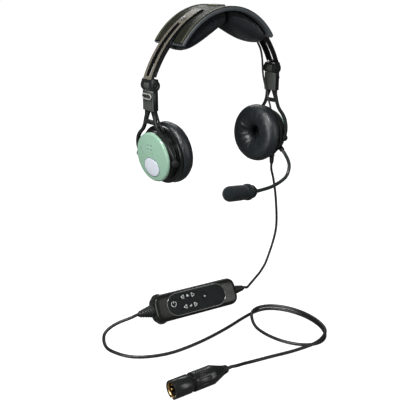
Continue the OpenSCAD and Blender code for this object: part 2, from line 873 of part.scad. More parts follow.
module battery_door() {
    bottom = -module_t / 2;
    color([0.11, 0.12, 0.12])
        in_module()
            difference() {
                box([door_x[0], -door_half, bottom], [door_x[1], door_half, bottom + 1.6]);
                for (k = [0 : 4])
                    box([door_x[1] - 14 + 2 * k, -7, bottom - 1], [door_x[1] - 13 + 2 * k, 7, bottom + 0.5]);
            }
}

// ---------------------------------------------------------------- plug

module plug_shell() {
    color([0.1, 0.11, 0.1])
        in_plug()
            difference() {
                union() {
                    disc(plug_r, 0, 19);
                    disc(plug_r - 1, 18.9, 23);
                }
                disc(8, -1, 24);
                // key slot in the rim
                box([7.2, -1.6, -1], [10, 1.6, 6]);
            }
}

function contact_angles() = [120, 180, 240, 60, -60];

module plug_insert() {
    color([0.05, 0.05, 0.05])
        in_plug()
            difference() {
                disc(8 - gap, 13.5, 23);
                for (a = contact_angles())
                    rotate([0, 0, a]) translate([contact_pcr, 0, 0]) cylinder(r = contact_r, h = 30, $fn = 32);
            }
}

module plug_pins() {
    color([0.85, 0.7, 0.35])
        in_plug()
            for (a = contact_angles())
                rotate([0, 0, a]) translate([contact_pcr, 0, 0]) {
                    disc(contact_r, 3.4, 25);
                    translate([0, 0, 3.4]) sphere(r = contact_r);
                }
}

module plug_sleeve() {
    color([0.09, 0.1, 0.09])
        in_plug()
            difference() {
                union() {
                    disc(sleeve_r, 23.1, sleeve_to);
                    translate([0, 0, sleeve_to]) cylinder(r1 = sleeve_r, r2 = 5, h = taper_to - sleeve_to);
                }
                disc(sleeve_r - 2, 22, sleeve_to - 2);
                disc(lead_r + 0.3, sleeve_to - 3, taper_to + 1);
                for (a = [0 : 18 : 342])
                    rotate([0, 0, a]) translate([sleeve_r + 0.7, 0, 27]) cylinder(r = 1, h = 13, $fn = 24);
                at_plug_screw(sleeve_r - 2) cylinder(r = 2.6, h = 4);
            }
}

// Moves to the sleeve's clamping screw, with +Z pointing straight out.
module at_plug_screw(r) {
    rotate([0, 0, 242]) translate([r, 0, sleeve_to - 3]) rotate([0, 90, 0]) children();
}

module plug_screw() {
    color([0.3, 0.3, 0.3])
        in_plug()
            at_plug_screw(sleeve_r - 1.9)
                difference() {
                    cylinder(r = 2.5, h = 1.6);
                    translate([0, 0, 1]) box([-1.8, -0.3, 0], [1.8, 0.3, 1]);
                }
}

// ---------------------------------------------------------------- output

band_shell();
pad_carrier();
head_pad();
band_screws();
mirror([1, 0, 0]) arm_strip();  // arm_strip_right
arm_strip();  // arm_strip_left
mirror([1, 0, 0]) knee_bracket();  // knee_bracket_right
knee_bracket();  // knee_bracket_left
knee_pins();
crossover_wire();
mirror([1, 0, 0]) slider_block();  // slider_block_right
slider_block();  // slider_block_left
mirror([1, 0, 0]) stirrup();  // stirrup_right
stirrup();  // stirrup_left
mirror([1, 0, 0]) cup_shell(false);  // cup_shell_right
mirror([1, 0, 0]) dome();  // dome_right
mirror([1, 0, 0]) trim_ring();  // trim_ring_right
mirror([1, 0, 0]) baffle();  // baffle_right
mirror([1, 0, 0]) driver();  // driver_right
mirror([1, 0, 0]) foam_disc();  // foam_disc_right
mirror([1, 0, 0]) ear_seal();  // ear_seal_right
mirror([1, 0, 0]) pivot_pins();  // pivot_pins_right
mirror([1, 0, 0]) cup_wire();  // cup_wire_right
cup_shell(true);  // cup_shell_left
dome();  // dome_left
baffle();  // baffle_left
driver();  // driver_left
foam_disc();  // foam_disc_left
ear_seal();  // ear_seal_left
pivot_pins();  // pivot_pins_left
cup_wire();  // cup_wire_left
boom_ring();
gooseneck();
mic_housing();
mic_capsule();
windscreen();
cord_ball();
upper_cord();
lower_cord();
cable_boots();
module_front();
module_back();
keypad_panel();
main_board();
batteries();
module_screws();
key(0);  // power_key
key(1);  // upper_left_key
key(2);  // upper_right_key
key(3);  // lower_left_key
key(4);  // lower_right_key
key(5);  // link_key
volume_wheel(1);  // volume_wheel_upper
volume_wheel(-1);  // volume_wheel_lower
battery_door();
plug_shell();
plug_insert();
plug_pins();
plug_sleeve();
plug_screw();
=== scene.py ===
"""Looks of the aviation headset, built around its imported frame. Lengths are in metres."""
import json
import math

import bmesh
import bpy
from mathutils import Matrix, Vector, noise
from mathutils.bvhtree import BVHTree


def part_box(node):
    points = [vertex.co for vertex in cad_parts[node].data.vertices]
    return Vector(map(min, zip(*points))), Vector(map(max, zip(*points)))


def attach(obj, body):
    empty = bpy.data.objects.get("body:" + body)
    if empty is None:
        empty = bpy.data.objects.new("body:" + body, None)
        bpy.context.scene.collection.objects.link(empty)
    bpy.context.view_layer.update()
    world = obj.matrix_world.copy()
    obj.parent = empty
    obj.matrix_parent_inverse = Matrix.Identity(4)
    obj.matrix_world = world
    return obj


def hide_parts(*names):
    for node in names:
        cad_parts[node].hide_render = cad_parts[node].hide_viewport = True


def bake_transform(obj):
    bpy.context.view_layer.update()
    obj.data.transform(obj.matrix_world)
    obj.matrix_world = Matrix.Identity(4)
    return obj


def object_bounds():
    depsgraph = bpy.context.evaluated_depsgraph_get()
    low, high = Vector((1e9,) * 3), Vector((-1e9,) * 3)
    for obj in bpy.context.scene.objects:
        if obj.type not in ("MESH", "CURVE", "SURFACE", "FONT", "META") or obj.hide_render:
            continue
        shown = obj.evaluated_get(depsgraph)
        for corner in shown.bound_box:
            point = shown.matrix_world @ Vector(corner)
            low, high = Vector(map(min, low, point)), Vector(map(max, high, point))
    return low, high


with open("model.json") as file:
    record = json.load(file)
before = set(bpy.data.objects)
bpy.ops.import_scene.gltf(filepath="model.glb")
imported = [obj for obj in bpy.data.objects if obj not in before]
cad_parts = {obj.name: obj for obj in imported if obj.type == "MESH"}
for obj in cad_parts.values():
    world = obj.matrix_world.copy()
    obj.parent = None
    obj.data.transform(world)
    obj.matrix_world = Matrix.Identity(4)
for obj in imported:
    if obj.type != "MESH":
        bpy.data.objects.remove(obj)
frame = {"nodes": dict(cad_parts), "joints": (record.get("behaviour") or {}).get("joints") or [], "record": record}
cad_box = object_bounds()
NODES = frame["nodes"]
JOINTS = {joint["name"]: joint for joint in frame["joints"]}
MM = 0.001
TURN = 2 * math.pi
SIGN = {"left": 1, "right": -1}
ON_AXIS = 0.01 * MM  # a radius that stands for zero in turned profiles


# ---------------------------------------------------------------- places in the frame

def turned(origin, out, down):
    """A frame with +Z along out, +X along down as nearly as it can be, and its origin at a point."""
    z = Vector(out).normalized()
    y = z.cross(Vector(down)).normalized()
    x = y.cross(z)
    return Matrix.Translation(origin) @ Matrix((x, y, z)).transposed().to_4x4()


def mirrored(matrix):
    return Matrix.Diagonal((-1, 1, 1, 1)) @ matrix


boom = JOINTS["boom_swing"]
CUP_LEFT = turned(Vector(boom["pos_m"]), -Vector(boom["axis"]), (0, 0, -1))
CUP = {"left": CUP_LEFT, "right": mirrored(CUP_LEFT)}

mic_low, mic_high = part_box("mic_capsule")
MIC_DIRECTION = Vector((-0.99, 0, 0.134)).normalized()
CAPSULE_MIDDLE = 15.25 * MM
MIC = turned((mic_low + mic_high) / 2 - CAPSULE_MIDDLE * MIC_DIRECTION, MIC_DIRECTION, (0, 0, -1))

wheel_axis = Vector(JOINTS["wheel_upper_turn"]["axis"])
wheel_up = Vector(JOINTS["wheel_upper_turn"]["pos_m"])
wheel_down = Vector(JOINTS["wheel_lower_turn"]["pos_m"])
WHEEL_X = -44.5 * MM
along_module = Vector(JOINTS["battery_door_slide"]["axis"])
MODULE = turned((wheel_up + wheel_down) / 2 - WHEEL_X * along_module, wheel_axis, along_module)


# ---------------------------------------------------------------- meshes

def link(name, mesh, matrix=None):
    piece = bpy.data.objects.new(name, mesh)
    bpy.context.scene.collection.objects.link(piece)
    if matrix is not None:
        piece.data.transform(matrix)
        if matrix.determinant() < 0:
            piece.data.flip_normals()
    return piece


def skinned(name, rings, faces, matrix):
    """The object made of the rings' points and the given faces."""
    mesh = bpy.data.meshes.new(name)
    mesh.from_pydata([tuple(p) for ring in rings for p in ring], [], faces)
    tidy_mesh(mesh)
    return link(name, mesh, matrix)


def from_rings(name, rings, matrix=None, closed=False):
    """A surface through equal rings of points. Its ends are capped, or joined if it is closed."""
    count = len(rings[0])
    faces = []
    last = len(rings) if closed else len(rings) - 1
    for i in range(last):
        a, b = i * count, (i + 1) % len(rings) * count
        for k in range(count):
            n = (k + 1) % count
            faces.append((a + k, a + n, b + n, b + k))
    if not closed:
        faces.append(tuple(reversed(range(count))))
        faces.append(tuple((len(rings) - 1) * count + k for k in range(count)))
    return skinned(name, rings, faces, matrix)


def tidy_mesh(mesh):
    bm = bmesh.new()
    bm.from_mesh(mesh)
    bmesh.ops.remove_doubles(bm, verts=bm.verts, dist=0.001 * MM)
    bmesh.ops.recalc_face_normals(bm, faces=bm.faces)
    bm.to_mesh(mesh)
    bm.free()
    smooth(mesh)


def smooth(mesh):
    mesh.polygons.foreach_set("use_smooth", [True] * len(mesh.polygons))


def revolved(name, profile, matrix, sides=96, closed=False, ripple=None):
    """Turns a profile of (radius, height) points round +Z. ripple moves each point's radius and height."""
    rings = []
    for k in range(sides):
        angle = TURN * k / sides
        ring = []
        for r, h in profile:
            if ripple:
                r, h = ripple(r, h, angle)
            ring.append(Vector((r * math.cos(angle), r * math.sin(angle), h)))
        rings.append(ring)
    count = len(profile)
    spans = count if closed else count - 1
    faces = []
    for i in range(sides):
        a, b = i * count, (i + 1) % sides * count
        for k in range(spans):
            n = (k + 1) % count
            faces.append((a + k, b + k, b + n, a + n))
    return skinned(name, rings, faces, matrix)


def curve_points(points, steps):
    """Catmull-Rom curve through the points."""
    last = len(points) - 1
    out = []
    for i in range(last):
        a, b, c, d = (points[min(max(i + k, 0), last)] for k in (-1, 0, 1, 2))
        for k in range(steps):
            t = k / steps
            out.append(0.5 * (2 * b + (c - a) * t + (2 * a - 5 * b + 4 * c - d) * t * t
                              + (3 * b - a - 3 * c + d) * t ** 3))
    out.append(points[-1])
    return out


def tube(name, points, radius, matrix=None, sides=10, closed=False):
    """A round tube along points. radius is a number or a function of the share of the length."""
    count = len(points)
    rings = []
    normal = None
    for i, p in enumerate(points):
        if closed:
            direction = points[(i + 1) % count] - points[i - 1]
        else:
            direction = points[min(i + 1, count - 1)] - points[max(i - 1, 0)]
        direction.normalize()
        if normal is None:
            normal = direction.orthogonal()
        normal = (normal - direction * normal.dot(direction)).normalized()
        side = direction.cross(normal)
        r = radius(i / (count - 1)) if callable(radius) else radius
        rings.append([p + r * (math.cos(TURN * k / sides) * normal + math.sin(TURN * k / sides) * side)
                      for k in range(sides)])
    return from_rings(name, rings, matrix, closed=closed)


def joined(name, parts):
    """One object from several, with their meshes joined."""
    bm = bmesh.new()
    for part in parts:
        bm.from_mesh(part.data)
        bpy.data.objects.remove(part)
    mesh = bpy.data.meshes.new(name)
    bm.to_mesh(mesh)
    bm.free()
    smooth(mesh)
    return link(name, mesh)


def applied(piece):
    """Replaces the piece's mesh by the result of its modifiers."""
    bpy.context.view_layer.update()
    graph = bpy.context.evaluated_depsgraph_get()
    mesh = bpy.data.meshes.new_from_object(piece.evaluated_get(graph))
    piece.modifiers.clear()
    piece.data = mesh


def cut(piece, *tools):
    """Cuts the tools out of the piece, and removes the tools."""
    for tool in tools:
        boolean = piece.modifiers.new("cut", "BOOLEAN")
        boolean.object = tool
        boolean.operation = "DIFFERENCE"
        boolean.solver = "EXACT"
    applied(piece)
    for tool in tools:
        bpy.data.objects.remove(tool)


def subdivided(piece):
    """Adds one level of subdivision."""
    subdivide = piece.modifiers.new("subdivide", "SUBSURF")
    subdivide.levels = 1
    subdivide.render_levels = 1


def split_edges(piece, degrees):
    """Keeps edges that turn more than an angle crisp under smooth shading."""
    split = piece.modifiers.new("split", "EDGE_SPLIT")
    split.split_angle = math.radians(degrees)


def prism(name, outline, low, high, matrix=None):
    """A flat plate with the given outline, between two heights."""
    rings = [[Vector((x, y, low)) for x, y in outline], [Vector((x, y, high)) for x, y in outline]]
    return from_rings(name, rings, matrix)


def stadium(length, width, steps=16, centre=(0, 0)):
    """Outline of a plate with half-round ends."""
    r = width / 2
    out = []
    for side in (1, -1):
        for k in range(steps + 1):
            angle = side * math.pi / 2 - math.pi * k / steps
            out.append((centre[0] + side * (length / 2 - r) + r * math.cos(angle),
                        centre[1] + r * math.sin(angle)))
    return out


def circle(radius, sides, centre):
    angles = [TURN * k / sides for k in range(sides)]
    return [(centre[0] + radius * math.cos(a), centre[1] + radius * math.sin(a)) for a in angles]


def surface_finder(piece):
    """A function that returns the first point of a mesh along a ray."""
    bm = bmesh.new()
    bm.from_mesh(piece.data)
    tree = BVHTree.FromBMesh(bm)
    bm.free()
    return lambda start, direction: tree.ray_cast(Vector(start), Vector(direction))[0]


# ---------------------------------------------------------------- soft goods

CLOTH_FRAMES = 20
FOLD_R = 16  # millimetres from the seal's middle, where the folds are deepest
FOLD_SPREAD = 9
FACE_FROM = -9.5  # folds begin this far along the cup's axis and are full FACE_BAND farther out
FACE_BAND = 5


def puffed(piece, voxel, pressure, cap):
    """Swells a closed mesh as padded fabric does. No point moves farther than cap."""
    remesh = piece.modifiers.new("remesh", "REMESH")
    remesh.mode = "VOXEL"
    remesh.voxel_size = voxel
    applied(piece)
    start = [v.co.copy() for v in piece.data.vertices]
    cloth = piece.modifiers.new("cloth", "CLOTH")
    cloth.settings.quality = 5
    cloth.settings.mass = 0.15
    cloth.settings.use_pressure = True
    cloth.settings.uniform_pressure_force = pressure
    cloth.settings.effector_weights.gravity = 0
    scene = bpy.context.scene
    for number in range(1, CLOTH_FRAMES + 1):
        scene.frame_set(number)
    applied(piece)
    scene.frame_set(1)
    for vertex, old in zip(piece.data.vertices, start):
        move = vertex.co - old
        if move.length > cap:
            vertex.co = old + move * (cap / move.length)
    subdivided(piece)
    applied(piece)
    smooth(piece.data)
    return piece


def noise_round(angle, turns, height):
    """Noise that closes on itself round a circle."""
    return noise.noise(Vector((turns * math.cos(angle), turns * math.sin(angle), height)))


def wrinkled(piece, matrix, depth):
    """Radial folds on an ear seal, deepest half way between the hole and the crest."""
    back = matrix.inverted()
    for vertex in piece.data.vertices:
        p = back @ vertex.co
        r = math.hypot(p.x, p.y) / MM
        facing = min(max((FACE_FROM - p.z / MM) / FACE_BAND, 0), 1)
        share = math.exp(-((r - FOLD_R) / FOLD_SPREAD) ** 2) * facing
        angle = math.atan2(p.y, p.x)
        fold = noise_round(angle, 3.4, 0.02 * r)
        fine = noise_round(angle, 8, 4 + 0.03 * r)
        sink = share * (0.75 * (0.5 - abs(fold) * 2.4) + 0.3 * fine)
        p.z += depth * sink
        vertex.co = matrix @ p


# ---------------------------------------------------------------- materials

MIX_A = 6  # sockets of the Mix node when it mixes colours
MIX_B = 7
MIX_RESULT = 2
WAVE_LENGTH = 0.314  # length of one band of the wave texture at scale 1


def node(tree, kind, inputs=None, **settings):
    made = tree.nodes.new(kind)
    for key, value in settings.items():
        setattr(made, key, value)
    for key, value in (inputs or {}).items():
        if isinstance(value, bpy.types.NodeSocket):
            tree.links.new(value, made.inputs[key])
        else:
            made.inputs[key].default_value = value
    return made


def shade(colour, factor):
    """The colour made lighter or darker, with an alpha of 1."""
    return tuple(min(c * factor, 1) for c in colour[:3]) + (1,)


class Finish:
    """One procedural material. Its textures are laid out in the object's own space, in metres."""

    def __init__(self, name, colour, rough, metallic=0, coat=0, coat_rough=0.1, sheen=0, specular=0.5):
        self.material = bpy.data.materials.new(name)
        self.material.use_nodes = True
        self.tree = self.material.node_tree
        self.shader = self.tree.nodes["Principled BSDF"]
        self.colour = colour
        self.rough = rough
        self.where = node(self.tree, "ShaderNodeTexCoord").outputs["Object"]
        self.height = None
        for key, value in (("Metallic", metallic), ("Coat Weight", coat), ("Coat Roughness", coat_rough),
                           ("Sheen Weight", sheen), ("Sheen Roughness", 0.4), ("Roughness", rough),
                           ("Specular IOR Level", specular), ("Base Color", shade(colour, 1))):
            self.shader.inputs[key].default_value = value

    def noise(self, size, detail=3, rough=0.5):
        inputs = {"Vector": self.where, "Scale": 1 / size, "Detail": detail, "Roughness": rough}
        return node(self.tree, "ShaderNodeTexNoise", inputs).outputs["Fac"]

    def cells(self, size, feature="DISTANCE_TO_EDGE"):
        inputs = {"Vector": self.where, "Scale": 1 / size}
        return node(self.tree, "ShaderNodeTexVoronoi", inputs, feature=feature).outputs["Distance"]

    def bands(self, size, direction, distortion=0.0):
        inputs = {"Vector": self.where, "Scale": WAVE_LENGTH / size, "Distortion": distortion}
        return node(self.tree, "ShaderNodeTexWave", inputs, bands_direction=direction).outputs["Fac"]

    def mapped(self, value, low, high, start=0.3, end=0.7):
        inputs = {"Value": value, "From Min": start, "From Max": end, "To Min": low, "To Max": high}
        return node(self.tree, "ShaderNodeMapRange", inputs).outputs["Result"]

    def maths(self, operation, a, b):
        return node(self.tree, "ShaderNodeMath", {0: a, 1: b}, operation=operation).outputs[0]

    def patchy(self, size, low, high):
        """Varies the colour between two shares of itself."""
        share = self.mapped(self.noise(size), 0, 1)
        mix = node(self.tree, "ShaderNodeMix", {"Factor": share}, data_type="RGBA")
        mix.inputs[MIX_A].default_value = shade(self.colour, low)
        mix.inputs[MIX_B].default_value = shade(self.colour, high)
        self.tree.links.new(mix.outputs[MIX_RESULT], self.shader.inputs["Base Color"])
        return self

    def smudged(self, size, low, high):
        """Varies the roughness, as handling does."""
        self.tree.links.new(self.mapped(self.noise(size, 4), low, high), self.shader.inputs["Roughness"])
        return self

    def raised(self, value, height, share=1.0):
        """Adds a height map to the bump. height is in metres."""
        inputs = {"Height": value, "Strength": share, "Distance": height}
        if self.height is not None:
            inputs["Normal"] = self.height
        self.height = node(self.tree, "ShaderNodeBump", inputs).outputs["Normal"]
        self.tree.links.new(self.height, self.shader.inputs["Normal"])
        return self

    def worn(self, amount, colour):
        """Lightens convex edges."""
        edge = node(self.tree, "ShaderNodeNewGeometry").outputs["Pointiness"]
        share = self.maths("MULTIPLY", self.mapped(edge, 0, amount, 0.51, 0.58), self.noise(2 * MM))
        mix = node(self.tree, "ShaderNodeMix", {"Factor": share}, data_type="RGBA")
        source = self.shader.inputs["Base Color"]
        if source.links:
            self.tree.links.new(source.links[0].from_socket, mix.inputs[MIX_A])
        else:
            mix.inputs[MIX_A].default_value = shade(self.colour, 1)
        mix.inputs[MIX_B].default_value = shade(colour, 1)
        self.tree.links.new(mix.outputs[MIX_RESULT], source)
        return self


def plastic(name, colour, rough, grain=0.3 * MM, depth=0.004 * MM, wear=0.4, patches=0.12, **settings):
    made = Finish(name, colour, rough, **settings)
    made.patchy(14 * MM, 1 - patches, 1 + patches).smudged(6 * MM, rough * 0.85, min(rough * 1.2, 1))
    made.raised(made.noise(grain, 2), depth)
    made.worn(wear, tuple(min(c * 3 + 0.06, 1) for c in colour))
    return made.material


def leather(name, colour):
    made = Finish(name, colour, 0.4, specular=0.75, coat=0.1, coat_rough=0.4)
    made.patchy(9 * MM, 0.75, 1.35).smudged(4 * MM, 0.36, 0.48)
    made.raised(made.noise(5 * MM, 3), 0.3 * MM, 0.5)
    made.raised(made.mapped(made.cells(1.1 * MM), 0, 1, 0, 0.12), 0.06 * MM, 0.6)
    made.raised(made.noise(0.35 * MM, 2), 0.02 * MM)
    return made.material


def knit(name, colour, thread):
    made = Finish(name, colour, 0.85, sheen=0.25, specular=0.25)
    made.patchy(7 * MM, 0.8, 1.3).smudged(3 * MM, 0.75, 0.95)
    rows = made.maths("MULTIPLY", made.bands(thread, "X", 0.5), made.bands(thread, "Y", 0.5))
    made.raised(rows, 0.25 * MM, 0.8)
    made.raised(made.noise(0.3 * MM, 3), 0.1 * MM, 0.5)
    return made.material


def foam(name, colour):
    made = Finish(name, colour, 0.95, sheen=0.2, specular=0.2)
    made.patchy(4 * MM, 0.75, 1.3).smudged(3 * MM, 0.88, 1)
    made.raised(made.cells(0.9 * MM, "F1"), 0.5 * MM, 0.8)
    made.raised(made.noise(0.4 * MM, 4, 0.7), 0.2 * MM, 0.6)
    return made.material


def metal(name, colour, rough):
    made = Finish(name, colour, rough, metallic=1)
    made.patchy(5 * MM, 0.85, 1.1).smudged(2 * MM, rough * 0.8, rough * 1.4)
    made.raised(made.bands(0.12 * MM, "Z", 3), 0.01 * MM, 0.5)
    return made.material


def build_materials():
    black = (0.005, 0.006, 0.006)
    return {
        "band": plastic("band_satin", (0.060, 0.060, 0.040), 0.42, depth=0.002 * MM, wear=0.0,
                        patches=0.06, specular=0.12),
        # Painted shade: the band between its rims is darker, where its channel lies in shade.
        "band_recess": plastic("band_recess", (0.016, 0.016, 0.012), 0.42, depth=0.002 * MM,
                               wear=0.0, specular=0.1),
        # Painted highlight: the carrier's grey is lightened so that its front edge shows bright, as if lit.
        "carrier": plastic("carrier_gloss", (0.075, 0.085, 0.092), 0.3, wear=0.0, coat=0.4,
                           coat_rough=0.2),
        # Lit copy: the strip's colour is lightened to how its lit face looks; the darker side material below is
        # its shaded copy.
        "strip": plastic("strip_coating", (0.110, 0.100, 0.080), 0.42, depth=0.001 * MM, wear=0.0,
                         specular=0.2),
        # Painted shade: near black for the strip's edges, rails and inward faces, and for the slider block's
        # sides.
        "dark_side": plastic("dark_side", (0.008, 0.008, 0.009), 0.3, depth=0.002 * MM, wear=0.0,
                             specular=0.3),
        "slider_block": plastic("block_satin", (0.050, 0.055, 0.050), 0.4, depth=0.002 * MM,
                                wear=0.2, specular=0.3),
        "pad_fabric": knit("pad_knit", (0.007, 0.010, 0.013), 0.7 * MM),
        "leatherette": leather("seal_leatherette", (0.006, 0.009, 0.011)),
        "dome": plastic("dome_green", (0.275, 0.450, 0.335), 0.30, grain=0.5 * MM,
                        depth=0.001 * MM, wear=0.1, patches=0.03, coat=0.4, coat_rough=0.15),
        "black_moulded": plastic("black_moulded", black, 0.25, depth=0.002 * MM, specular=0.45),
        "black_steel": plastic("black_steel", (0.010, 0.010, 0.010), 0.3, metallic=0.3),
        "boom": plastic("boom_sleeve", (0.014, 0.017, 0.018), 0.4, wear=0.2),
        "rubber": plastic("boot_rubber", (0.008, 0.009, 0.009), 0.45, wear=0.2),
        "cord": plastic("cord_jacket", (0.009, 0.009, 0.009), 0.4, wear=0.1),
        "case": plastic("case_satin", (0.009, 0.010, 0.008), 0.25, depth=0.002 * MM, wear=0.0,
                        specular=0.25),
        "bezel": plastic("bezel_gloss", (0.050, 0.052, 0.048), 0.15, wear=0.0, coat=1.0),
        "keypad": plastic("keypad_film", (0.008, 0.010, 0.010), 0.5, grain=0.15 * MM, wear=0.0,
                          specular=0.15),
        "foam": foam("foam_black", (0.009, 0.013, 0.015)),
        "driver": plastic("driver_frame", (0.08, 0.08, 0.09), 0.45),
        "board": plastic("board_green", (0.03, 0.16, 0.08), 0.35),
        "cell": plastic("cell_wrap", (0.4, 0.33, 0.08), 0.35),
        "steel": metal("steel_machined", (0.45, 0.45, 0.45), 0.3),
        "gold": metal("gold_contact", (0.60, 0.40, 0.17), 0.3),
        "plug_metal": plastic("plug_black", (0.008, 0.009, 0.008), 0.24, depth=0.001 * MM,
                              wear=0.2, specular=0.5),
        "emblem": plastic("emblem_pearl", (0.66, 0.70, 0.77), 0.25, wear=0.1, patches=0.03, coat=0.6),
        "emblem_rim": plastic("emblem_rim", (0.05, 0.07, 0.10), 0.3, wear=0.2),
        "print": plastic("print_grey", (0.50, 0.53, 0.50), 0.5, wear=0.1),
        # Painted highlight: light grey for the rim round the block's window, standing for light on its edge.
        "rim": plastic("worn_rim", (0.20, 0.20, 0.19), 0.3, coat=0.3),
        "stitch": plastic("stitch_thread", (0.03, 0.035, 0.04), 0.7, grain=0.1 * MM),
    }


MATERIALS = build_materials()


def finished(piece, material, body, slot, *replaced):
    """Gives a new piece its material and its body, and hides the CAD nodes it stands for."""
    piece.data.materials.clear()
    piece.data.materials.append(MATERIALS[material])
    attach(piece, body)
    if replaced:
        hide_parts(*replaced)


# ---------------------------------------------------------------- CAD nodes

# Widths in millimetres. A node that is not listed gets OTHER_BEVEL.
BEVELS = {"band_shell": 0.5, "pad_carrier": 0.7, "arm_strip": 0.3, "knee_bracket": 0.6, "slider_block": 0.5,
          "stirrup": 0.9, "mic_housing": 0.4, "cup_shell": 0.15, "dome": 0.0, "plug_sleeve": 0.2,
          "plug_shell": 0.25, "battery_door": 0.2, "boom_ring": 0.2, "cable_boots": 0.15}
OTHER_BEVEL = 0.12
BEVEL_OVER = 40  # degrees
SPLIT_OVER = 32
WELD = 0.002 * MM
SWEPT = ("upper_cord", "lower_cord", "gooseneck")
BAND_MIDDLE = Vector((0, 0, 69.9 * MM))
BAND_R = 86 * MM


def faces_sideways(polygon):
    return abs(polygon.normal.y) > 0.7


def faces_sideways_or_in(polygon):
    outward = polygon.normal.x * math.copysign(1, polygon.center.x) + polygon.normal.z
    return faces_sideways(polygon) or outward < 0


# Faces in the channel below the rims, which take the band's painted shade.
def below_rims(polygon):
    return math.hypot(polygon.center.x, polygon.center.z - BAND_MIDDLE.z) < BAND_R + 0.3 * MM


# Where a second, darker material paints shade: on the strip's edges and rails, on the block's sides,
# and on the band between its rims.
DARKER = {"arm_strip": (faces_sideways_or_in, "dark_side"), "slider_block": (faces_sideways, "dark_side"),
          "band_shell": (below_rims, "band_recess")}


# Paints shade: puts the darker second material on the chosen faces.
def darken(mesh, chosen, material):
    mesh.materials.append(MATERIALS[material])
    for polygon in mesh.polygons:
        if chosen(polygon):
            polygon.material_index = 1


def painted(mesh, base, slot):
    """The node's own material where it has one, or its slot's, and a darker one as painted shade on some faces."""
    mesh.materials.clear()
    mesh.materials.append(MATERIALS[base if base in MATERIALS else slot])
    if base in DARKER:
        darken(mesh, *DARKER[base])


def bevelled(piece, width):
    bevel = piece.modifiers.new("bevel", "BEVEL")
    bevel.limit_method = "ANGLE"
    bevel.angle_limit = math.radians(BEVEL_OVER)
    bevel.width = width
    bevel.segments = 2
    bevel.use_clamp_overlap = True


def dress_cad_nodes():
    """Materials for every CAD node, and rounded edges or smoother sweeps where they show."""
    slots = {part["node"]: part["material_slot"] for part in frame["record"]["subparts"]}
    for name, cad in NODES.items():
        base = name.replace("_left", "").replace("_right", "")
        painted(cad.data, base, slots[name])
        if "custom_normal" in cad.data.attributes:
            cad.data.attributes.remove(cad.data.attributes["custom_normal"])
        smooth(cad.data)
        weld = cad.modifiers.new("weld", "WELD")
        weld.merge_threshold = WELD
        if name in SWEPT:
            subdivided(cad)
            continue
        width = BEVELS.get(base, OTHER_BEVEL)
        if width:
            bevelled(cad, width * MM)
        split_edges(cad, SPLIT_OVER)


# ---------------------------------------------------------------- ear seals and foam

SEAL_BACK = -2.5 * MM
SEAL_PROFILE = ((7.9, 2.5), (7.7, 7.5), (8.8, 12.0), (12.5, 15.4), (17.5, 17.5), (22.8, 18.4), (27.6, 18.0),
                (31.6, 16.0), (34.4, 12.4), (35.4, 8.2), (34.9, 4.2), (33.2, 1.4), (29.0, 0.3), (10.0, 0.2))
SEAM_RING = 25 * MM  # the seam is found from a ring inside the seal, along rays that lean by SEAM_TILT
SEAM_DEPTH = 8 * MM
SEAM_REACH = 20 * MM
SEAM_TILT = math.radians(50)
WELT_POINTS = 96
STITCHES = 84
STITCH_LEAN = 0.13
CLOTH_FRONT = SEAL_BACK + 0.1 * MM
CLOTH_BACK = SEAL_BACK + 0.7 * MM


def ear_seal(side):
    place = CUP[side]
    profile = [(r * MM, SEAL_BACK - h * MM) for r, h in SEAL_PROFILE]
    seal = revolved("seal_" + side, profile, place, sides=72, closed=True)
    puffed(seal, voxel=3.2 * MM, pressure=3, cap=0.7 * MM)
    wrinkled(seal, place, depth=1.5 * MM)
    finished(seal, "leatherette", "cup_" + side, "leatherette", "ear_seal_" + side)
    seal_seam(side, surface_finder(seal))


def seal_seam(side, find):
    """Welt and stitches round the rim of the seal's face."""
    place = CUP[side]
    middle = place @ Vector((0, 0, SEAL_BACK - SEAM_DEPTH))

    def rim_point(angle, lean):
        c, s = math.cos(angle), math.sin(angle)
        out = Vector((c * math.cos(lean), s * math.cos(lean), -math.sin(lean)))
        ring = place @ Vector((SEAM_RING * c, SEAM_RING * s, SEAL_BACK - SEAM_DEPTH))
        direction = (place.to_3x3() @ out).normalized()
        hit = find(ring + SEAM_REACH * direction, -direction)
        return hit if hit is not None else middle

    rim = [rim_point(TURN * k / WELT_POINTS, SEAM_TILT) for k in range(WELT_POINTS)]
    welt = tube("seal_welt_" + side, rim, 0.35 * MM, sides=6, closed=True)
    finished(welt, "leatherette", "cup_" + side, "leatherette")
    stitches = []
    for k in range(STITCHES):
        ends = [rim_point(TURN * (k + share) / STITCHES, SEAM_TILT + STITCH_LEAN)
                for share in (0.0, 0.28, 0.56)]
        stitches.append(tube("stitch", ends, lambda t: (0.1 + 0.16 * math.sin(math.pi * t)) * MM, sides=5))
    finished(joined("seal_stitches_" + side, stitches), "stitch", "cup_" + side, "leatherette")


def foam_disc(side):
    """The cloth over the speaker, slightly rippled."""
    profile = [(ON_AXIS, CLOTH_FRONT)]
    profile += [(r * MM, SEAL_BACK + (0.1 + 0.02 * math.sin(r * 1.3)) * MM) for r in range(2, 27, 2)]
    profile += [(26.6 * MM, SEAL_BACK + 0.3 * MM), (26 * MM, CLOTH_BACK), (ON_AXIS, CLOTH_BACK)]
    disc = revolved("speaker_cloth_" + side, profile, CUP[side], sides=48)
    finished(disc, "foam", "cup_" + side, "foam", "foam_disc_" + side)


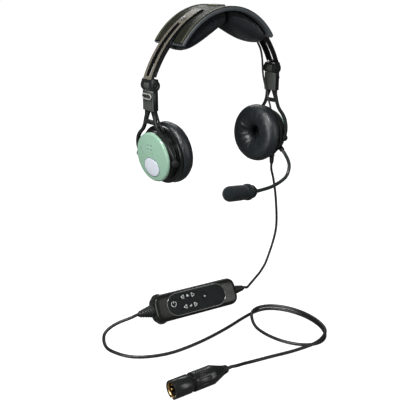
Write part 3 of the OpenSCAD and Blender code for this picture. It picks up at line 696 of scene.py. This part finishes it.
def windscreen():
    """Foam over the microphone, with a collar at its base and a round tip. Lengths are in millimetres."""
    base = 9.2
    tip = 52.2
    r = 9.2
    profile = [(5.2, base + 0.4), (7.2, base), (8.9, base + 1.3), (9.8, base + 3.2), (10.0, base + 5.6),
               (9.7, base + 7.6), (8.9, base + 9.0), (8.6, base + 10.2), (8.9, base + 12), (9.1, base + 17),
               (r, base + 24), (r, tip - r)]
    profile += [(r * math.cos(a), tip - r + r * math.sin(a))
                for a in (math.radians(d) for d in range(9, 90, 9))]
    profile.append((0.05, tip))

    def pores(radius, height, angle):
        spot = Vector((radius * math.cos(angle), radius * math.sin(angle), height)) / (0.9 * MM)
        return radius * (1 + 0.006 * noise.noise(spot)), height

    dense = []
    for a, b in zip(profile, profile[1:]):
        dense += [(a[0] + (b[0] - a[0]) * k / 3, a[1] + (b[1] - a[1]) * k / 3) for k in range(3)]
    dense.append(profile[-1])
    screen = revolved("foam_windscreen", [(a * MM, b * MM) for a, b in dense], MIC, sides=96, ripple=pores)
    finished(screen, "foam", "boom", "foam", "windscreen")


# ---------------------------------------------------------------- head pad

PAD_TOP_R = 81.1 * MM
PAD_HALF_WIDTH = 20.3 * MM
PAD_CROWN = 3.2 * MM
PAD_STATIONS = 32
PAD_SIDES = 40
PAD_UNDER = ((1, 137.0), (4, 135.4), (11, 131.0), (18, 127.0), (30, 120.8), (42, 115.4), (52, 112.2),
             (58, 111.6), (62.5, 114.0), (64.0, 118.5))


def pad_bottom(x):
    """Height of the pad's underside at x, which is in millimetres from the middle."""
    for (x0, z0), (x1, z1) in zip(PAD_UNDER, PAD_UNDER[1:]):
        if x <= x1:
            return (z0 + (z1 - z0) * (x - x0) / (x1 - x0)) * MM
    return PAD_UNDER[-1][1] * MM


def pad_lobe(name, side):
    """One side's cushion: flat above, crowned below, pulled in towards its ends."""
    rings = []
    for i in range(PAD_STATIONS + 1):
        x = 1.0 + 62.6 * i / PAD_STATIONS
        top = BAND_MIDDLE.z + math.sqrt(PAD_TOP_R ** 2 - (x * MM) ** 2)
        bottom = pad_bottom(x)
        pull = 1 - 0.28 * max(0, (x - 52) / 12) ** 2
        ring = []
        for k in range(PAD_SIDES):
            angle = TURN * k / PAD_SIDES
            c, s = math.cos(angle), math.sin(angle)
            y = PAD_HALF_WIDTH * pull * math.copysign(abs(c) ** 0.45, c)
            crown = PAD_CROWN * (abs(y) / PAD_HALF_WIDTH) ** 2.2
            if s > 0:
                z = (top + bottom) / 2 + (top - bottom) / 2 * abs(s) ** 0.35
            else:
                z = (top + bottom) / 2 - ((top - bottom) / 2 - crown) * abs(s) ** 0.5
            ring.append(Vector((side * x * MM, y, z)))
        rings.append(ring)
    return from_rings(name, rings)


def head_pad():
    lobes = [puffed(pad_lobe("lobe", side), voxel=3.4 * MM, pressure=3, cap=0.9 * MM) for side in (-1, 1)]
    finished(joined("head_cushion", lobes), "pad_fabric", "headband", "pad_fabric", "head_pad")


# ---------------------------------------------------------------- crossover wire

WIRE = ((68.6, 6.5, 116.9), (73.4, 6.8, 111.6), (77.6, 7, 105.9), (80.9, 7, 100), (83.4, 7, 91),
        (84.6, 7.1, 83), (85.2, 7, 75.5), (86.2, 6.4, 67), (86.8, 4, 58), (86.9, 1.4, 51.5),
        (86.8, -1.4, 44), (86.6, -4.4, 37), (85.8, -7.2, 32.2), (84.2, -9, 27.8))
WIRE_R = 1.25 * MM
WIRE_STEPS = 8


def crossover_wire(side):
    """The wire down the inside of an arm, in lengths along the band, block, fork and cup in turn. A length with
    one body rides on it; a length between two bodies rides on neither.
    """
    line = curve_points([Vector((SIGN[side] * x, y, z)) * MM for x, y, z in WIRE], WIRE_STEPS)
    # Each length has a name, its first and last point in WIRE, and the one or two bodies it lies between.
    lengths = (("band", 0, 4, "headband", None), ("knee", 4, 6, "headband", "slider_" + side),
               ("block", 6, 7, "slider_" + side, None), ("height", 7, 8, "slider_" + side, "fork_" + side),
               ("tilt", 8, 12, "fork_" + side, "cup_" + side), ("cup", 12, 13, "cup_" + side, None))
    for part, first, last, upper, lower in lengths:
        points = line[first * WIRE_STEPS:last * WIRE_STEPS + 1]
        wire = tube(f"wire_{part}_{side}", points, WIRE_R, sides=10)
        wire.data.materials.append(MATERIALS["cord"])
        if lower:
            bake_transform(wire)
        else:
            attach(wire, upper)
        if part == "band":
            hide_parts("crossover_wire")
        if part == "cup":
            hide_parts("cup_wire_" + side)


# ---------------------------------------------------------------- emblems and prints

DOME_OUT = 18 * MM
DOME_CAVITY = 12.6 * MM
EMBLEM_DOWN = 10.8 * MM


def vent_gauze(side):
    """Dark gauze behind the dome's vent holes."""
    inner = DOME_CAVITY - 0.3 * MM
    profile = [(ON_AXIS, DOME_CAVITY), (24 * MM, DOME_CAVITY), (24 * MM, inner), (ON_AXIS, inner)]
    gauze = revolved("vent_gauze_" + side, profile, CUP[side], sides=48)
    finished(gauze, "foam", "cup_" + side, "foam")


def emblem(side):
    """A plain oval badge on the dome: a pearl face inside a dark rim."""
    place = CUP[side]
    find = surface_finder(NODES["dome_" + side])
    direction = place.to_3x3() @ Vector((0, 0, -1))

    def oval(name, rx, ry, lift, crown, material):
        """An oval laid on the dome. lift and crown are its edge's and its middle's height, in millimetres."""
        rings = []
        for share, height in ((1.0, -0.3), (1.0, lift - 0.12), (0.97, lift), (0.8, lift + crown * 0.4),
                              (0.5, lift + crown * 0.8), (0.2, lift + crown)):
            ring = []
            for k in range(64):
                angle = TURN * k / 64
                x = EMBLEM_DOWN + share * rx * math.cos(angle)
                local = Vector((x, share * ry * math.sin(angle), DOME_OUT))
                hit = find(place @ local, direction)
                ring.append(hit - direction * height * MM)
            rings.append(ring)
        finished(from_rings(name, rings), material, "cup_" + side, "dome")

    oval("emblem_rim_" + side, 11.0 * MM, 13.2 * MM, 0.25, 0.0, "emblem_rim")
    oval("emblem_face_" + side, 10.5 * MM, 12.7 * MM, 0.4, 0.15, "emblem")


KEYPAD_TOP = 9.65 * MM
PANEL_X = -0.5
PRINT_SUNK = 0.02 * MM
PRINT_PROUD = 0.05 * MM
KEY_SPOTS = {"power_key": (-29, 1.2), "upper_left_key": (-16.6, 6.6), "upper_right_key": (-3.6, 6.6),
             "lower_left_key": (-15.8, -4.8), "lower_right_key": (-2.8, -4.8), "link_key": (10.6, 1.6)}


def printed(name, outlines, spot, body):
    """Thin raised print on the keypad. Each outline is a closed list of points in millimetres."""
    parts = []
    for outline in outlines:
        points = [((spot[0] + PANEL_X + x) * MM, (spot[1] + y) * MM) for x, y in outline]
        parts.append(prism("print", points, KEYPAD_TOP - PRINT_SUNK, KEYPAD_TOP + PRINT_PROUD, MODULE))
    finished(joined(name, parts), "print", body, "keypad")


def bar(a, b, width):
    """Outline of a straight stroke."""
    a, b = Vector((*a, 0)), Vector((*b, 0))
    side = (b - a).cross(Vector((0, 0, 1))).normalized() * width / 2
    return [(p.x, p.y) for p in (a + side, b + side, b - side, a - side)]


def strokes(points, width, closed=True):
    """Outlines of the strokes that join the points."""
    last = len(points) if closed else len(points) - 1
    return [bar(points[i], points[(i + 1) % len(points)], width) for i in range(last)]


def arc(radius, start, end, steps):
    """Points along an arc between two angles in degrees."""
    angles = [math.radians(start + (end - start) * k / steps) for k in range(steps + 1)]
    return [(radius * math.cos(a), radius * math.sin(a)) for a in angles]


def keypad_prints():
    width = 0.75
    ring = strokes(arc(3, 125, 415, 24), width, closed=False)
    printed("print_power", ring + [bar((0, 0.6), (0, 3.5), width)], KEY_SPOTS["power_key"], "power_key")
    for row in ("upper", "lower"):
        for side, sign in (("left", -1), ("right", 1)):
            triangle = [(-1.6 * sign, -2.3), (-1.6 * sign, 2.3), (2.2 * sign, 0)]
            key = f"{row}_{side}_key"
            printed("print_" + key, strokes(triangle, width), KEY_SPOTS[key], key)
    glyph = [[(-1.5, -1.1), (1.4, -1.1), (1.4, 0.4), (0.4, 0.4), (0.4, 1.3), (-1.5, 1.3)]]
    printed("print_upper_glyph", glyph, (-10, 6.7), "cord")
    hook = [[(-1.5, -1.2), (1.5, -1.2), (1.5, 1.3), (0.6, 1.3), (0.6, -0.2), (-1.5, -0.2)]]
    printed("print_lower_glyph", hook, (-9.2, -4.6), "cord")
    link_mark = strokes([(-0.9, 0), (0, 1.2), (0.9, 0), (0, -1.2)], 0.5) + [bar((-1.6, 0), (1.6, 0), 0.5)]
    printed("print_link", link_mark, KEY_SPOTS["link_key"], "link_key")


# ---------------------------------------------------------------- plug and slider trim

PLUG_TURN = math.radians(-7)
INSERT_MIDDLE = 18.25 * MM
LINER_PROFILE = ((7.2, 0.7), (7.2, 3.4), (7.95, 3.6), (7.95, 0.6))
WINDOW_Z = 66.9 * MM
WINDOW_LENGTH = 14.6 * MM
WINDOW_WIDTH = 5.2 * MM
KNUCKLE_ROOM = 6.15 * MM  # radius of the hollow in the block's shoulders
SHOULDER_HALF_WIDTH = 9.2 * MM
SHOULDER_IN = -2.9 * MM
SHOULDER_OUT = 3.4 * MM
SHOULDER_FOOT = -8.2 * MM


def plug_liner():
    """Gold ring round the insert, deep in the plug's mouth."""
    low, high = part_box("plug_insert")
    axis = Vector((math.cos(PLUG_TURN), math.sin(PLUG_TURN), 0))
    place = turned((low + high) / 2 - INSERT_MIDDLE * axis, axis, (0, 0, -1))
    profile = [(r * MM, h * MM) for r, h in LINER_PROFILE]
    finished(revolved("plug_liner", profile, place, sides=64, closed=True), "gold", "cord", "gold")


def block_rim(side):
    """Rim round the oval window in the slider block, light grey as a painted highlight on the window's edge."""
    low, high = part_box("slider_block_" + side)
    face = max(abs(low.x), abs(high.x)) - 0.35 * MM
    window = stadium(WINDOW_LENGTH, WINDOW_WIDTH, 12)
    outline = [Vector((SIGN[side] * face, x, WINDOW_Z + y)) for x, y in window]
    rim = tube("block_rim_" + side, outline, 0.8 * MM, sides=8, closed=True)
    finished(rim, "rim", "slider_" + side, "black_moulded")


def block_shoulders(side):
    """Top of the slider block, hollowed to fit round the knuckle above it."""
    axis = Vector(JOINTS[side + "_knee"]["pos_m"])
    hollow = [SHOULDER_IN + (SHOULDER_OUT - SHOULDER_IN) * k / 12 for k in range(13)]
    outline = [(x, -math.sqrt(KNUCKLE_ROOM ** 2 - x ** 2)) for x in hollow]
    outline += [(SHOULDER_OUT, SHOULDER_FOOT), (SHOULDER_IN, SHOULDER_FOOT)]
    rings = [[Vector((axis.x + SIGN[side] * x, y, axis.z + z)) for x, z in outline]
             for y in (-SHOULDER_HALF_WIDTH, SHOULDER_HALF_WIDTH)]
    shoulders = from_rings("block_shoulders_" + side, rings)
    finished(shoulders, "slider_block", "slider_" + side, "black_moulded")
    # The shoulders' sides get the same painted shade as the block's sides.
    darken(shoulders.data, *DARKER["slider_block"])


# ---------------------------------------------------------------- control module case

CASE_L = 104 * MM
CASE_W = 31 * MM
CASE_T = 20 * MM
CASE_CORNER = 9 * MM
CASE_EDGE = 4 * MM
CASE_GAP = 0.06 * MM  # between the seam's plane and either half
FAR = 60 * MM
DOOR = ((-24.2, -10.2), (36.4, -10.2), (36.4, 10.2), (-24.2, 10.2))


def case_ring(x, sides=64, power=5.0):
    """Cross-section of the case at x: a soft rectangle that rounds off towards both ends."""
    into_end = max(0, abs(x) - (CASE_L / 2 - CASE_CORNER))
    half_w = CASE_W / 2 - CASE_CORNER + math.sqrt(max(CASE_CORNER ** 2 - into_end ** 2, 0))
    into_edge = max(0, abs(x) - (CASE_L / 2 - CASE_EDGE))
    half_t = CASE_T / 2 - CASE_EDGE + math.sqrt(max(CASE_EDGE ** 2 - into_edge ** 2, 0))
    ring = []
    for k in range(sides):
        angle = TURN * (k + 0.5) / sides
        c, s = math.cos(angle), math.sin(angle)
        ring.append(Vector((x, half_w * math.copysign(abs(c) ** (2 / power), c),
                            half_t * math.copysign(abs(s) ** (2 / power), s))))
    return ring


def wheel_pockets():
    return [prism("pocket", circle(7.0 * MM, 40, (WHEEL_X, y * MM)), -1.9 * MM, 4.7 * MM)
            for y in (-10.4, 10.4)]


def front_openings():
    """The panel's step and the opening under it."""
    middle = (PANEL_X * MM, 0)
    step = prism("panel", stadium(73.2 * MM, 24.2 * MM, centre=middle), CASE_T / 2 - 1.3 * MM, CASE_T)
    inside = prism("inside", stadium(70 * MM, 21 * MM, centre=middle), -5 * MM, CASE_T)
    return [step, inside]


def back_openings():
    """The battery door's recess and the four screw holes."""
    recess = prism("door", [(x * MM, y * MM) for x, y in DOOR], -CASE_T, -CASE_T / 2 + 1.8 * MM)
    holes = [prism("hole", circle(1.3 * MM, 20, (x * MM, y * MM)), -CASE_T, -CASE_T / 2 + 3 * MM)
             for x in (-31, 46) for y in (-12.6, 12.6)]
    return [recess, *holes]


def case_half(side, whole, low, high, openings):
    """One shell: the whole case without the part between two heights, and without its openings."""
    half = link("case_" + side, whole.data.copy())
    other_half = prism("cutter", [(-FAR, -FAR), (FAR, -FAR), (FAR, FAR), (-FAR, FAR)], low, high)
    cut(half, other_half, *openings, *wheel_pockets())
    half.data.transform(MODULE)
    tidy_mesh(half.data)
    split_edges(half, 35)
    finished(half, "case", "cord", "case", "module_" + side)


def module_case():
    stations = [-CASE_L / 2 * math.cos(math.pi * k / 60) for k in range(61)]
    whole = from_rings("case", [case_ring(x * 0.9995) for x in stations])
    case_half("front", whole, -FAR, CASE_GAP, front_openings())
    case_half("back", whole, -CASE_GAP, FAR, back_openings())
    bpy.data.objects.remove(whole)
    edge = stadium(73.9 * MM, 24.9 * MM, 20, (PANEL_X * MM, 0))
    rim = [Vector((x, y, KEYPAD_TOP + 0.02 * MM)) for x, y in edge]
    bezel = tube("panel_bezel", rim, 0.65 * MM, MODULE, sides=8, closed=True)
    finished(bezel, "bezel", "cord", "case")


# ---------------------------------------------------------------- stage

CAMERA_PLACE = (-0.5567953, -0.6016945, 0.2100016)
CAMERA_RIGHT = Vector((0.7414775, -0.6709698, 0.0032591))
CAMERA_UP = Vector((0.2230588, 0.2510738, 0.9419165))
CAMERA_BACK = Vector((-0.6328158, -0.6976830, 0.3358312))
SENSOR = 36
FOCAL = 713.73  # focal length where the image is IMAGE_SIDE wide
IMAGE_SIDE = 416
WHITE = (1, 1, 1, 1)
FLOOR_REACH = 30
FLOOR_DIM = (0.10, 0.10, 0.10, 1)
LIT_MIDDLE = (0, 0, 0.02)


def camera():
    data = bpy.data.cameras.new("camera")
    data.sensor_width = SENSOR
    data.lens = SENSOR * FOCAL / IMAGE_SIDE
    data.clip_start = 0.01
    data.clip_end = 100
    eye = bpy.data.objects.new("camera", data)
    bpy.context.scene.collection.objects.link(eye)
    axes = Matrix((CAMERA_RIGHT, CAMERA_UP, CAMERA_BACK)).transposed().to_4x4()
    eye.matrix_world = Matrix.Translation(CAMERA_PLACE) @ axes
    bpy.context.scene.camera = eye


def area_light(name, place, size, power):
    data = bpy.data.lights.new(name, "AREA")
    data.shape = "RECTANGLE"
    data.size, data.size_y = size
    data.energy = power
    lamp = bpy.data.objects.new(name, data)
    bpy.context.scene.collection.objects.link(lamp)
    lamp.location = place
    lamp.rotation_mode = "QUATERNION"
    lamp.rotation_quaternion = (Vector(LIT_MIDDLE) - Vector(place)).to_track_quat("-Z", "Y")


def seen_and_lit(tree, seen, lit, mirrored_share=0.0):
    """Mixes two shaders: one for what the camera sees, one for what lights the object.

    mirrored_share is how much of the first one shows in glossy surfaces."""
    path = node(tree, "ShaderNodeLightPath")
    gloss = node(tree, "ShaderNodeMath", {0: path.outputs["Is Glossy Ray"], 1: mirrored_share},
                 operation="MULTIPLY").outputs[0]
    share = node(tree, "ShaderNodeMath", {0: path.outputs["Is Camera Ray"], 1: gloss},
                 operation="MAXIMUM").outputs[0]
    mix = node(tree, "ShaderNodeMixShader", {0: share})
    tree.links.new(lit, mix.inputs[1])
    tree.links.new(seen, mix.inputs[2])
    return mix.outputs[0]


def floor():
    """Pale ground just under the cord at rest. It shows white, but lights the object only dimly."""
    low = cad_box[0].z - 0.3 * MM
    corners = [(x * FLOOR_REACH, y * FLOOR_REACH, low) for x, y in ((-1, -1), (1, -1), (1, 1), (-1, 1))]
    mesh = bpy.data.meshes.new("floor")
    mesh.from_pydata(corners, [], [(0, 1, 2, 3)])
    ground = link("floor", mesh)
    made = Finish("floor_pale", (0.30, 0.30, 0.30), 0.9, specular=0.0)
    made.raised(made.noise(30 * MM, 2), 0.2 * MM, 0.2)
    made.shader.inputs["Emission Color"].default_value = WHITE
    made.shader.inputs["Emission Strength"].default_value = 1
    dim = node(made.tree, "ShaderNodeBsdfDiffuse", {"Color": FLOOR_DIM}).outputs[0]
    end = made.tree.nodes["Material Output"].inputs["Surface"]
    made.tree.links.new(seen_and_lit(made.tree, made.shader.outputs[0], dim, 0.04), end)
    mesh.materials.append(made.material)


def lighting():
    world = bpy.data.worlds.new("studio")
    bpy.context.scene.world = world
    world.use_nodes = True
    tree = world.node_tree
    seen = tree.nodes["Background"]
    seen.inputs["Color"].default_value = WHITE
    lit = node(tree, "ShaderNodeBackground", {"Color": (0.92, 0.96, 1, 1), "Strength": 0.08}).outputs[0]
    tree.links.new(seen_and_lit(tree, seen.outputs[0], lit), tree.nodes["World Output"].inputs["Surface"])
    area_light("key", (-0.75, -0.35, 1.0), (0.5, 0.3), power=19)
    area_light("fill", (0.35, -1.2, 0.35), (0.25, 0.9), power=3.5)
    area_light("rim", (0.7, 0.9, 0.8), (0.7, 0.25), power=4)
    area_light("side", (-1.2, -0.2, 0.1), (0.3, 0.9), power=9)


# ---------------------------------------------------------------- build

dress_cad_nodes()
for cup_side in ("left", "right"):
    ear_seal(cup_side)
    foam_disc(cup_side)
    emblem(cup_side)
    vent_gauze(cup_side)
    crossover_wire(cup_side)
    block_rim(cup_side)
    block_shoulders(cup_side)
windscreen()
head_pad()
module_case()
plug_liner()
keypad_prints()
floor()
lighting()
camera()
bpy.context.scene.view_settings.view_transform = "Standard"
